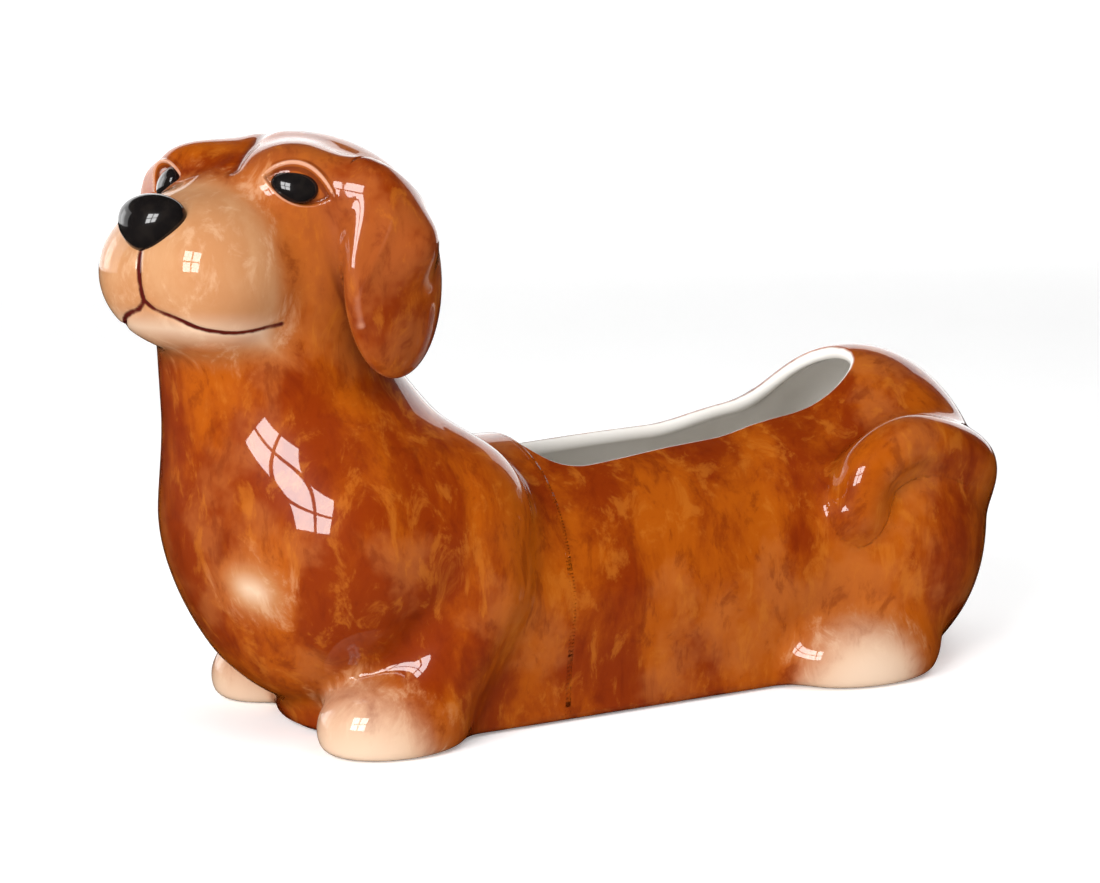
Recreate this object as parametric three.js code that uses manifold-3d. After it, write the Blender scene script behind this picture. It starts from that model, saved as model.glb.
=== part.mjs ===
// A dachshund-shaped ceramic planter: a hollow, slip-cast body open along its back, with a hollow head,
// hanging ears, four short legs and a curled tail luted on. Millimetres, +Z up. The dog lies along X and
// faces -X, its left side is -Y, and it rests on z = 0.
//
// Every clay piece is a blend of a few round masses. A mass is a function of a point that is negative
// inside the clay and close to the distance outside it. A piece's surface is found by walking out from a
// point or a line inside it until that function reaches a wanted level: 0 is the surface, -wall is the
// inside of a cast shell, and +seamGap is the surface grown by the joint that its neighbour keeps from it.
import * as THREE from 'three';
import { ParametricGeometry } from 'three/addons/geometries/ParametricGeometry.js';
import { mergeVertices } from 'three/addons/utils/BufferGeometryUtils.js';
import Module from 'manifold-3d';

const wasm = await Module();
wasm.setup();

// ---------------------------------------------------------------- driving dimensions

const castWall = 3.8; // thickness of the slip-cast shells
const seamGap = 0.3; // joint between two luted pieces

const backLength = 160; // from the middle of the chest to the middle of the rump
const barrelRadius = 36; // half the width of the barrel
const barrelHeight = 33; // height of the barrel's middle line
const footWidth = 70; // width of the flat foot under the barrel
const footHeight = 36; // height of the straight wall that rises from the foot

const chestX = -65; // middle of the chest, from which the whole dog is set out
const chestReach = 37; // how far the chest bulges forwards from its middle
const chestHalfWidth = 41;
const chestHalfHeight = 43;
const chestHeight = 48; // height of the chest's middle
const shoulderSpread = 20; // each shoulder's middle, out from the middle plane
const shoulderRadius = 27;

const rumpReach = 36; // how far the rump bulges backwards from its middle
const rumpHalfWidth = 41;
const rumpHalfHeight = 48;
const rumpHeight = 38;

const neckHeight = 54; // from the foot of the neck to its top
const neckRootRadius = 29.5;
const neckTopRadius = 26;
const neckLean = 6; // how far the neck's top leans forwards
const seamHeight = 89.5; // where the head is luted to the neck

const headTurn = 24; // degrees that the head is turned to the dog's left
const headLift = 4; // degrees that the muzzle is lifted
const headRise = 9; // the head's middle above the top of the neck
const headHalfLength = 30;
const headHalfWidth = 32.5;
const headHalfHeight = 23.5;
const muzzleForward = 27; // the muzzle's middle, forwards of the head's
const muzzleHalfLength = 22;
const muzzleHalfWidth = 20;
const muzzleHalfHeight = 18;

const eyeForward = 20;
const eyeSpread = 20; // each eye, out from the middle of the face
const eyeRise = 12.5;
const eyeHalfLength = 5.6;
const noseForward = 46;
const noseRise = 3;
const noseHalfWidth = 8.6;

const earSpread = 33; // each ear's middle, out from the middle of the head
const earHalfLength = 16.5;
const earHalfHeight = 23;
const earHalfThickness = 6.5;
const earDrop = 9; // the ear's middle below the head's
const earSweep = 8; // degrees that the ear's tip is swept back
const earRootRadius = 7;

const legSpread = 31.5; // each leg's middle, out from the middle plane
const forelegRadius = 14;
const elbowHeight = 37;
const pawHalfLength = 19;
const pawHalfWidth = 14.5;
const pawHalfHeight = 13;
const hindPawHalfLength = 24;
const thighRadius = 27;
const thighHeight = 33;

const tailRadius = 7;
const tailTipRadius = 5;

const openingLength = 106; // length of the opening in the back
const openingFrontWidth = 42; // its width behind the neck
const openingRearWidth = 32; // its width in front of the rump
const openingFromChest = 50; // its front end, behind the middle of the chest

// ---------------------------------------------------------------- places worked out from them

const vec = (x, y, z) => new THREE.Vector3(x, y, z);
const left = -1; // the dog's left is -Y
const right = 1;

const rumpX = chestX + backLength;
const neckRoot = vec(chestX - 15, 0, chestHeight + 10);
const neckTop = vec(neckRoot.x - neckLean, 0, neckRoot.z + neckHeight);
const headAt = vec(neckTop.x + 7, 0, neckTop.z + headRise);

// The head's own axes: X forwards along the muzzle, Y to its left, Z up through the crown.
const headForward = vec(-1, 0, 0)
  .applyAxisAngle(vec(0, 1, 0), THREE.MathUtils.degToRad(headLift))
  .applyAxisAngle(vec(0, 0, 1), THREE.MathUtils.degToRad(headTurn));
const headLeft = vec(0, -1, 0).applyAxisAngle(vec(0, 0, 1), THREE.MathUtils.degToRad(headTurn));
const headUp = headForward.clone().cross(headLeft);
const headAxes = new THREE.Matrix4().makeBasis(headForward, headLeft, headUp);
const headPlace = headAxes.clone().setPosition(headAt);
const onHead = (forward, side, up) => vec(forward, side, up).applyMatrix4(headPlace);
const earAxes = headAxes.clone().multiply(new THREE.Matrix4().makeRotationY(THREE.MathUtils.degToRad(earSweep)));

// ---------------------------------------------------------------- masses

// An ellipsoid with its middle at `at`, turned by the rotation matrix `axes`.
function ellipsoid(at, radii, axes = new THREE.Matrix4()) {
  const back = axes.clone().setPosition(at).invert();
  const p = vec();
  return (point) => {
    p.copy(point).applyMatrix4(back).divide(radii);
    const near = p.length();
    const slope = p.divide(radii).length();
    return slope > 1e-6 ? (near * (near - 1)) / slope : -Math.min(...radii.toArray());
  };
}

// A round bar from a to b whose radius runs evenly from ra to rb.
function roundBar(a, b, ra, rb) {
  const axis = b.clone().sub(a);
  const lengthSq = axis.lengthSq();
  const p = vec();
  return (point) => {
    p.copy(point).sub(a);
    const along = THREE.MathUtils.clamp(p.dot(axis) / lengthSq, 0, 1);
    return p.addScaledVector(axis, -along).length() - (ra + (rb - ra) * along);
  };
}

// A standing wall with rounded edges whose plan is the line from a to b, widened by `radius` all round.
function footing(a, b, radius, half, edge) {
  const axis = b.clone().sub(a);
  const p = vec();
  return (point) => {
    p.copy(point).sub(a);
    const along = THREE.MathUtils.clamp(p.dot(axis) / axis.lengthSq(), 0, 1);
    p.addScaledVector(axis, -along);
    const plan = Math.hypot(p.x, p.y) - radius + edge;
    const rise = Math.abs(p.z) - half + edge;
    return Math.hypot(Math.max(plan, 0), Math.max(rise, 0)) + Math.min(Math.max(plan, rise), 0) - edge;
  };
}

// Joins masses with a fillet of about `fillet` between them, as a thumb smooths wet clay.
function join(fillet, ...masses) {
  return (point) => masses.map((mass) => mass(point)).reduce((a, b) => {
    const overlap = Math.max(fillet - Math.abs(a - b), 0) / fillet;
    return Math.min(a, b) - (overlap * overlap * fillet) / 4;
  });
}

// ---------------------------------------------------------------- surfaces from masses

// Walks from `from` along `direction` until the mass reaches `level`, and returns that point.
function surfacePoint(mass, level, from, direction) {
  const p = vec();
  const at = (t) => mass(p.copy(from).addScaledVector(direction, t)) - level;
  let inner = 0;
  let outer = 0;
  while (at(outer) < 0) {
    inner = outer;
    outer += Math.max(0.7 * -at(outer), 0.25);
  }
  for (let i = 0; i < 24; i += 1) {
    const middle = (inner + outer) / 2;
    if (at(middle) < 0) inner = middle;
    else outer = middle;
  }
  return from.clone().addScaledVector(direction, outer);
}

// Makes a manifold solid of a closed geometry: its shared vertices are merged and the empty triangles
// at its poles are dropped.
function solid(geometry) {
  const bare = geometry.clone();
  bare.deleteAttribute('normal');
  bare.deleteAttribute('uv');
  const merged = mergeVertices(bare, 1e-3);
  const index = merged.getIndex().array;
  const triVerts = [];
  for (let i = 0; i < index.length; i += 3) {
    const [a, b, c] = index.slice(i, i + 3);
    if (a !== b && b !== c && c !== a) triVerts.push(a, b, c);
  }
  const vertProperties = new Float32Array(merged.getAttribute('position').array);
  const made = new wasm.Manifold(new wasm.Mesh({
    numProp: 3, vertProperties, triVerts: new Uint32Array(triVerts),
  }));
  if (made.volume() < 0) throw new Error('a surface is inside out');
  return made;
}

// A surface that bulges all round one middle point: the rays of a sphere, walked out to the mass.
function aroundPoint(mass, level, middle, axes, columns, rows) {
  const sphere = new THREE.SphereGeometry(1, columns, rows);
  const position = sphere.getAttribute('position');
  const ray = vec();
  for (let i = 0; i < position.count; i += 1) {
    ray.fromBufferAttribute(position, i).transformDirection(axes);
    const p = surfacePoint(mass, level, middle, ray);
    position.setXYZ(i, p.x, p.y, p.z);
  }
  return solid(sphere);
}

// A surface along a line: `station(u)` gives the ray's start and the two directions of its section, and
// `tilt` from 1 to 0 to -1, which leans the rays into the poles at the two ends.
function alongLine(mass, level, station, stations, spokes) {
  const surface = new ParametricGeometry((u, v, target) => {
    const { from, across, upright, along, tilt } = station(u);
    const angle = v * 2 * Math.PI;
    const flat = Math.sqrt(Math.max(1 - tilt * tilt, 0));
    const ray = across.clone().multiplyScalar(Math.cos(angle) * flat)
      .addScaledVector(upright, Math.sin(angle) * flat)
      .addScaledVector(along, tilt);
    target.copy(surfacePoint(mass, level, from, ray.normalize()));
  }, stations, spokes);
  return solid(surface);
}

// ---------------------------------------------------------------- the clay

const head = join(
  8,
  join(
    14,
    ellipsoid(onHead(-2, 0, 2.5), vec(headHalfLength, headHalfWidth, headHalfHeight), headAxes),
    ellipsoid(onHead(-2, 0, -8), vec(24, headHalfWidth - 4.5, 20), headAxes),
    ellipsoid(onHead(muzzleForward, 0, -8), vec(muzzleHalfLength, muzzleHalfWidth, muzzleHalfHeight), headAxes),
  ),
  ellipsoid(onHead(muzzleForward - 13, 0, -18), vec(24, muzzleHalfWidth - 3, 12), headAxes),
  ellipsoid(onHead(16, -15.5, 14.5), vec(9, 9.5, 7), headAxes),
  ellipsoid(onHead(16, 15.5, 14.5), vec(9, 9.5, 7), headAxes),
  ellipsoid(onHead(muzzleForward + 7, -9, -9), vec(14, 13, 14), headAxes),
  ellipsoid(onHead(muzzleForward + 7, 9, -9), vec(14, 13, 14), headAxes),
);
const neck = roundBar(neckRoot, neckTop, neckRootRadius, neckTopRadius);
const headAndNeck = join(6, head, neck);

function shoulder(side) {
  return roundBar(
    vec(chestX - 8, side * shoulderSpread, chestHeight + 3),
    vec(chestX + 14, side * (shoulderSpread + 1.5), chestHeight + 3),
    shoulderRadius,
    shoulderRadius - 3,
  );
}

const chest = join(
  12,
  join(
    8,
    ellipsoid(vec(chestX - 5, 0, chestHeight), vec(chestReach, chestHalfWidth, chestHalfHeight)),
    shoulder(left),
    shoulder(right),
  ),
  neck,
);

const back = join(
  9,
  join(
    8,
    roundBar(vec(chestX + 25, 0, barrelHeight), vec(rumpX - 10, 0, barrelHeight), barrelRadius, barrelRadius),
    footing(
      vec(chestX + 19, 0, footHeight / 2 - 1),
      vec(rumpX - 23, 0, footHeight / 2 - 1),
      footWidth / 2,
      footHeight / 2 + 1,
      5,
    ),
  ),
  ellipsoid(vec(rumpX - 22, 0, rumpHeight), vec(45, barrelRadius + 0.5, 35)),
  ellipsoid(vec(rumpX + 1, 0, rumpHeight), vec(rumpReach, rumpHalfWidth, rumpHalfHeight)),
);

const body = join(6, join(5, back, chest), head);

function frontLeg(side) {
  const spread = side * legSpread;
  return join(
    5,
    roundBar(
      vec(chestX + 18, spread + side * 0.5, elbowHeight),
      vec(chestX + 5, spread, 12),
      forelegRadius,
      forelegRadius - 1.5,
    ),
    ellipsoid(vec(chestX - 3, spread, 6), vec(pawHalfLength, pawHalfWidth, pawHalfHeight)),
  );
}

function hindLeg(side) {
  return join(
    8,
    ellipsoid(vec(rumpX - 7, side * 24, thighHeight), vec(thighRadius, thighRadius - 4, 30)),
    ellipsoid(vec(rumpX - 23, side * (legSpread + 4.5), 7), vec(hindPawHalfLength, pawHalfWidth, pawHalfHeight)),
  );
}

function ear(side) {
  const from = onHead(1, side * (earSpread + 4), 0);
  const root = roundBar(from, onHead(8, side * (earSpread - 2.5), 12), earRootRadius, earRootRadius - 0.5);
  const flap = ellipsoid(
    onHead(0, side * earSpread, -earDrop),
    vec(earHalfLength, earHalfThickness, earHalfHeight),
    earAxes,
  );
  return join(8, root, flap);
}

// ---------------------------------------------------------------- the body's two skins

const pivot = vec(chestX + 45, 0, seamHeight); // the sections of the bend from back to neck fan about it
const bendRadius = pivot.z - barrelHeight;
const across = vec(0, 1, 0);
const backwards = vec(1, 0, 0);
const upwards = vec(0, 0, 1);
const downwards = vec(0, 0, -1);

// The line inside the body runs from the rump along the barrel, bends up through the chest and ends in
// the neck. Each stretch has its number of stations and where it is at t from 0 to 1.
const spine = [
  {
    stations: 9,
    place: (t) => ({
      from: vec(rumpX, 0, barrelHeight), upright: upwards, along: backwards, tilt: Math.cos((t * Math.PI) / 2),
    }),
  },
  {
    stations: 24,
    place: (t) => ({
      from: vec(THREE.MathUtils.lerp(rumpX, pivot.x, t), 0, barrelHeight), upright: upwards, along: backwards, tilt: 0,
    }),
  },
  {
    stations: 18,
    place: (t) => {
      const turn = (t * Math.PI) / 2;
      const inward = vec(Math.sin(turn), 0, Math.cos(turn));
      return {
        from: pivot.clone().addScaledVector(inward, -bendRadius), upright: inward, along: downwards, tilt: 0,
      };
    },
  },
  {
    stations: 3,
    place: (t) => ({
      from: vec(pivot.x - bendRadius, 0, pivot.z).lerp(neckTop, t), upright: backwards, along: downwards, tilt: 0,
    }),
  },
  {
    stations: 5,
    place: (t) => ({ from: neckTop, upright: backwards, along: downwards, tilt: -Math.sin((t * Math.PI) / 2) }),
  },
];
const spineStations = spine.reduce((sum, stretch) => sum + stretch.stations, 0);

function spineStation(u) {
  let rest = u * spineStations;
  for (const stretch of spine) {
    if (rest <= stretch.stations) return { across, ...stretch.place(rest / stretch.stations) };
    rest -= stretch.stations;
  }
  return { across, ...spine.at(-1).place(1) };
}

const bodySkin = (level, share, spokes) =>
  alongLine(body, level, spineStation, Math.round(spineStations * share), spokes);

// ---------------------------------------------------------------- cutters

// Everything below or above the height z, to cut a piece flat.
function slab(z, side) {
  const block = new THREE.BoxGeometry(4 * backLength, 2 * backLength, backLength);
  return solid(block.translate(0, 0, z + (side * backLength) / 2));
}
const below = (z) => slab(z, -1);
const above = (z) => slab(z, 1);

// The opening in the back: a rounded outline, wider behind the neck than in front of the rump.
function openingCutter() {
  const front = chestX + openingFromChest;
  const rear = front + openingLength;
  const frontHalf = openingFrontWidth / 2;
  const rearHalf = openingRearWidth / 2;
  const outline = new THREE.Shape();
  outline.moveTo(front, 0);
  outline.bezierCurveTo(front, frontHalf * 0.7, front + 6, frontHalf, front + 20, frontHalf);
  outline.bezierCurveTo(front + 45, frontHalf, rear - 30, rearHalf, rear - 13, rearHalf);
  outline.bezierCurveTo(rear - 4, rearHalf, rear, rearHalf * 0.6, rear, 0);
  outline.bezierCurveTo(rear, -rearHalf * 0.6, rear - 4, -rearHalf, rear - 13, -rearHalf);
  outline.bezierCurveTo(rear - 30, -rearHalf, front + 45, -frontHalf, front + 20, -frontHalf);
  outline.bezierCurveTo(front + 6, -frontHalf, front, -frontHalf * 0.7, front, 0);
  const prism = new THREE.ExtrudeGeometry(outline, { depth: backLength, bevelEnabled: false, curveSegments: 8 });
  return solid(prism.translate(0, 0, barrelHeight));
}

// ---------------------------------------------------------------- pieces

const pieces = {};

const headSkin = (level, columns, rows) => aroundPoint(headAndNeck, level, headAt, headAxes, columns, rows);
const headGrown = headSkin(seamGap, 36, 30);
const bodyGrown = bodySkin(seamGap, 1, 32);
const ground = below(0);

const cavity = bodySkin(-castWall, 0.6, 20).subtract(below(castWall));
pieces.body_shell = bodySkin(0, 1, 32)
  .subtract(ground)
  .subtract(cavity)
  .subtract(openingCutter())
  .subtract(above(seamHeight - seamGap / 2));

pieces.head_shell = headSkin(0, 36, 30)
  .subtract(headSkin(-castWall, 22, 18))
  .subtract(below(seamHeight + seamGap / 2));

const sides = { left: { turn: left, face: 1 }, right: { turn: right, face: -1 } };
for (const [name, side] of Object.entries(sides)) {
  const earMiddle = onHead(0, side.face * (earSpread + 1), -earDrop + 4);
  pieces[`ear_${name}`] = aroundPoint(ear(side.face), 0, earMiddle, headAxes, 20, 14)
    .subtract(headGrown)
    .subtract(bodyGrown);

  const foreleg = vec(chestX + 1, side.turn * legSpread, 18);
  pieces[`front_leg_${name}`] = aroundPoint(frontLeg(side.turn), 0, foreleg, new THREE.Matrix4(), 22, 16)
    .subtract(bodyGrown)
    .subtract(ground);

  const thigh = vec(rumpX - 15, side.turn * (legSpread - 2), 16);
  pieces[`hind_leg_${name}`] = aroundPoint(hindLeg(side.turn), 0, thigh, new THREE.Matrix4(), 22, 16)
    .subtract(bodyGrown)
    .subtract(ground);

  // The eye is a ball sunk into the face so that a fifth of it stands proud.
  const gaze = vec(eyeForward, side.face * eyeSpread, eyeRise).transformDirection(headAxes);
  const socket = surfacePoint(head, 0, headAt, gaze);
  const ball = new THREE.SphereGeometry(eyeHalfLength, 18, 12);
  const sunk = socket.addScaledVector(gaze, -0.6 * eyeHalfLength);
  pieces[`eye_${name}`] = solid(ball.translate(sunk.x, sunk.y, sunk.z)).subtract(headGrown);
}

const sniff = vec(noseForward - muzzleForward, 0, noseRise + 8).transformDirection(headAxes);
const noseSeat = surfacePoint(head, 0, onHead(muzzleForward, 0, -8), sniff);
const noseMiddle = noseSeat.addScaledVector(sniff, -2.5);
const nose = ellipsoid(noseMiddle, vec(7, noseHalfWidth, 6.6), headAxes);
pieces.nose = aroundPoint(nose, 0, noseMiddle, headAxes, 20, 14).subtract(headGrown);

// The tail is a roll of clay from the middle of the rump round its left side, thinner towards the tip.
function tailRoll() {
  const out = -(rumpHalfWidth + 1);
  const line = new THREE.CatmullRomCurve3([
    vec(rumpX + 27, 4, rumpHeight),
    vec(rumpX + 28, -16, rumpHeight + 7),
    vec(rumpX + 18, out + 9.5, rumpHeight + 17),
    vec(rumpX + 2, out + 1.5, rumpHeight + 24),
    vec(rumpX - 14, out, rumpHeight + 27),
    vec(rumpX - 25, out + 0.5, rumpHeight + 21),
    vec(rumpX - 29, out + 2, rumpHeight + 12),
  ]);
  const steps = 240;
  const frames = line.computeFrenetFrames(steps);
  const length = line.getLength();
  const roll = new ParametricGeometry((u, v, target) => {
    const step = Math.round((steps * (1 - Math.cos(u * Math.PI))) / 2);
    const radius = THREE.MathUtils.lerp(tailRadius, tailTipRadius, step / steps);
    const fromEnd = (Math.min(step, steps - step) / steps) * length;
    const short = Math.max(1 - fromEnd / radius, 0);
    const reach = radius * Math.sqrt(1 - short * short);
    const angle = v * 2 * Math.PI;
    target.copy(line.getPointAt(step / steps))
      .addScaledVector(frames.normals[step], Math.cos(angle) * reach)
      .addScaledVector(frames.binormals[step], -Math.sin(angle) * reach);
  }, 26, 12);
  return solid(roll);
}
const thighGrown = aroundPoint(
  hindLeg(left), seamGap, vec(rumpX - 15, left * (legSpread - 2), 16), new THREE.Matrix4(), 22, 16,
);
pieces.tail = tailRoll().subtract(bodyGrown).subtract(thighGrown);

// ---------------------------------------------------------------- finishes and the scene graph

const glaze = (color, roughness) => new THREE.MeshStandardMaterial({ color, roughness, metalness: 0 });
const brownGlaze = glaze(0xa4561a, 0.14);
const tanGlaze = glaze(0xd9a470, 0.14);
const blackGlaze = glaze(0x0c0b0d, 0.06);
const finishes = {
  nose: blackGlaze,
  eye_left: blackGlaze,
  eye_right: blackGlaze,
  front_leg_left: tanGlaze,
  front_leg_right: tanGlaze,
  hind_leg_left: tanGlaze,
  hind_leg_right: tanGlaze,
};

function meshOf(name, piece) {
  const { vertProperties, triVerts } = piece.getMesh();
  const geometry = new THREE.BufferGeometry();
  geometry.setAttribute('position', new THREE.BufferAttribute(new Float32Array(vertProperties), 3));
  geometry.setIndex(new THREE.BufferAttribute(new Uint32Array(triVerts), 1));
  geometry.computeVertexNormals();
  const mesh = new THREE.Mesh(geometry, finishes[name] ?? brownGlaze);
  mesh.name = name;
  return mesh;
}

const dog = new THREE.Group();
for (const [name, piece] of Object.entries(pieces)) dog.add(meshOf(name, piece));

// The origin is the middle of the dog's box, on the surface that it stands on.
const middle = new THREE.Box3().setFromObject(dog).getCenter(vec());
dog.position.set(-middle.x, -middle.y, 0);

export default dog;
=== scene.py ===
# %% [markdown]
# # A glazed dachshund planter
# A slip-cast earthenware dog whose long back is open as a trough for plants. The object is one fired
# body, but a potter makes it from cast and pressed pieces, and the frame keeps those pieces as nodes.
# The frame comes first: every place below is worked out from the boxes of its nodes, in metres.

# %% Load the frame
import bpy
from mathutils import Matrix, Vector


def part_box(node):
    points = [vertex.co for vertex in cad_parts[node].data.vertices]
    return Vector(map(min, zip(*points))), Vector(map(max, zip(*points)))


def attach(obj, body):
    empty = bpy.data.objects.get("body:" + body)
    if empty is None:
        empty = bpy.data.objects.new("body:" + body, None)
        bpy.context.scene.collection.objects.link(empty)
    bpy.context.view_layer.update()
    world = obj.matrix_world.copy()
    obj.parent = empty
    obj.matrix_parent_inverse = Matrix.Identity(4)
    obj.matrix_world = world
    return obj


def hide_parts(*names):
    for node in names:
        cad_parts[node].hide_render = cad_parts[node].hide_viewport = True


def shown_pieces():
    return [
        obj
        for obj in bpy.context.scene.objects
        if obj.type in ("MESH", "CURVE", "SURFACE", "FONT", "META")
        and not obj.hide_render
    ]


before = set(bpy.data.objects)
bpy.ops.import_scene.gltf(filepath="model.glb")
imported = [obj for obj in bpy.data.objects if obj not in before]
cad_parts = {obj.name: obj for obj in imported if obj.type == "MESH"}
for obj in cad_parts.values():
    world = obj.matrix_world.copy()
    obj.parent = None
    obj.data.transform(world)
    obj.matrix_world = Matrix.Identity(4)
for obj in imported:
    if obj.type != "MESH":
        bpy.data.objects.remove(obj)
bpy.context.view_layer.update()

import math
import bpy
import numpy as np
from mathutils import Vector

MM = 0.001


def node_box(node):
    """A node's lowest and highest corners, in millimetres."""
    low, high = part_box(node)
    return np.array(low) / MM, np.array(high) / MM


body_low, body_high = node_box("body_shell")
print("body", body_low.round(1), body_high.round(1))

# %% [markdown]
# ## Clay as a blend of masses
# A modeller builds such a dog from a few round lumps and thumbs the joints smooth. The same can be
# done with numbers. Each lump is a function of a point, negative inside and about the distance
# outside, and a smooth minimum of two of them leaves a fillet where they meet. Metaballs or a voxel
# remesh would also melt lumps together, but this way the surface is exact, and its slope gives
# exact normals, which a glossy glaze shows off.

# %% Masses and the joint between them


def length(vectors):
    """Square root of the sum of squares, along the last axis."""
    return np.sqrt(np.einsum("...i,...i->...", vectors, vectors))


def unit(vectors):
    """Vectors over their lengths."""
    return vectors / np.maximum(length(vectors), 1e-12)[..., None]


def ellipsoid(p, at, radii, axes=None):
    """Scaled distance k0 (k0 - 1) / k1, where k0 is the length of p over the radii and k1 its slope."""
    q = p - at
    if axes is not None:
        q = q @ axes
    q = q / radii
    near = length(q)
    slope = length(q / radii)
    return np.where(slope > 1e-9, near * (near - 1) / np.maximum(slope, 1e-9), -np.min(radii))


def bar(p, a, b, ra, rb):
    """Distance to the line from a to b, less a radius that runs evenly from ra to rb."""
    axis = np.subtract(b, a)
    q = p - a
    along = np.clip(q @ axis / (axis @ axis), 0, 1)
    return length(q - along[:, None] * axis) - (ra + (rb - ra) * along)


def footing(p, a, b, radius, half, edge):
    """A standing wall with rounded edges; its plan is the line from a to b widened by the radius."""
    axis = np.subtract(b, a)
    q = p - a
    along = np.clip(q @ axis / (axis @ axis), 0, 1)
    q = q - along[:, None] * axis
    plan = np.hypot(q[:, 0], q[:, 1]) - radius + edge
    rise = np.abs(q[:, 2]) - half + edge
    outside = np.hypot(np.maximum(plan, 0), np.maximum(rise, 0))
    return outside + np.minimum(np.maximum(plan, rise), 0) - edge


def join(fillet, *masses):
    """Smooth minimum: where two values are closer than the fillet, a parabola is taken off both."""
    out = masses[0]
    for mass in masses[1:]:
        overlap = np.maximum(fillet - np.abs(out - mass), 0) / fillet
        out = np.minimum(out, mass) - overlap ** 2 * fillet / 4
    return out


def cut(fillet, mass, knife):
    """Smooth maximum: the mass, cut away where the knife's value is positive."""
    return -join(fillet, -mass, -knife)


# %% Set the dog out from the frame
RUMP_REACH, BACK_LENGTH = 37, 160
BARREL_HEIGHT = 33
WALL = 3.8
LEFT, RIGHT = -1, 1

rump_x = body_high[0] - RUMP_REACH
chest_x = rump_x - BACK_LENGTH
neck_root = np.array([chest_x - 15, 0, 58.0])
neck_top = np.array([chest_x - 21, 0, 112.0])
head_at = np.array([chest_x - 14, 0, 121.0])
seam_z = 89.5

turn, lift = math.radians(24), math.radians(4)
forward = np.array([-math.cos(turn) * math.cos(lift), -math.sin(turn) * math.cos(lift), math.sin(lift)])
leftward = np.array([math.sin(turn), -math.cos(turn), 0])
head_axes = np.stack([forward, leftward, np.cross(forward, leftward)], axis=1)


sweep = math.radians(8)
ear_axes = head_axes @ np.array([
    (math.cos(sweep), 0, math.sin(sweep)), (0, 1, 0), (-math.sin(sweep), 0, math.cos(sweep)),
])


def on_head(f, s, u):
    """A point given as millimetres forward, to the dog's left and up from the head's middle."""
    return head_at + head_axes @ np.array([f, s, u], float)


print("head axes", head_axes.round(2).tolist())

# %% [markdown]
# ## The masses of each clay piece
# The trunk is the barrel, its straight-sided foot, the rump, the chest with two shoulders, and the
# neck. The head is a skull, cheeks, a broad muzzle with two lips, a jaw and two brows. They could be
# sculpted by hand, but as numbers the two sides match and the dog stands where the frame puts it.

# %% Trunk and head as masses


def trunk_mass(p):
    """Chest, shoulders and neck joined to a round barrel with its foot, loin and rump."""
    chest = ellipsoid(p, (chest_x - 5, 0, 48), (37, 41, 43))
    for side in (LEFT, RIGHT):
        upper = bar(p, (chest_x - 8, side * 20, 51), (chest_x + 14, side * 21.5, 51), 27, 24)
        chest = join(8, chest, upper)
    chest = join(12, chest, bar(p, neck_root, neck_top, 29.5, 26))
    barrel = bar(p, (chest_x + 25, 0, BARREL_HEIGHT), (rump_x - 10, 0, BARREL_HEIGHT), 36, 36)
    foot = footing(p, (chest_x + 19, 0, 17), (rump_x - 23, 0, 17), 35, 19, 5)
    loin = ellipsoid(p, (rump_x - 22, 0, 38), (45, 36.5, 35))
    rump = ellipsoid(p, (rump_x + 1, 0, 38), (RUMP_REACH - 1, 41, 48))
    return join(5, join(9, join(8, barrel, foot), loin, rump), chest)


def head_mass(p):
    """Skull, cheeks and muzzle joined with wide fillets, then the jaw, the brows and the lips."""
    def lump(f, s, u, *radii):
        return ellipsoid(p, on_head(f, s, u), radii, head_axes)

    skull, cheeks = lump(-2, 0, 2.5, 30, 32.5, 23.5), lump(-2, 0, -8, 24, 28, 20)
    muzzle, jaw = lump(27, 0, -8, 22, 20, 18), lump(14, 0, -18, 24, 17, 12)
    head = join(8, join(14, skull, cheeks, muzzle), jaw)
    for side in (1, -1):
        brow, lip = lump(16, side * 15.5, 14.5, 9, 9.5, 7), lump(34, side * 9, -9, 14, 13, 14)
        head = join(8, head, brow, lip)
    return head


rump_middle = np.array([[rump_x, 0, 38.0]])
print("from the rump's middle out to the skin", trunk_mass(rump_middle).round(1))

# %% [markdown]
# ## Lines on the head
# The mouth is pressed with a tool and then painted, and so is the fold between nose and lip. The
# groove over the crown and the folds of the ears are thumbed. Each is a smooth curve through a few
# points, and the press is a rounded groove about the distance to that curve. Displacing the finished
# mesh would do it too, but then the normals wouldn't be exact.

# %% Curves for the mouth, the crown and the ears


def smooth_line(points, count):
    """A Catmull-Rom curve through the points, at evenly spaced parameters."""
    points = np.asarray(points, float)
    padded = np.vstack([2 * points[0] - points[1], points, 2 * points[-1] - points[-2]])
    s = np.linspace(0, len(points) - 1, count)
    k = np.minimum(s.astype(int), len(points) - 2)
    t = (s - k)[:, None]
    a, b, c, d = (padded[k + i] for i in range(4))
    bend, twist = 2 * a - 5 * b + 4 * c - d, 3 * b - a - 3 * c + d
    return 0.5 * (2 * b + (c - a) * t + bend * t ** 2 + twist * t ** 3)


def along_line(p, line, radii):
    """Smallest distance to a chain of round bars with a radius at each point of the line."""
    bars = zip(line[:-1], line[1:], radii[:-1], radii[1:])
    return np.min([bar(p, *ends) for ends in bars], axis=0)


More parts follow.
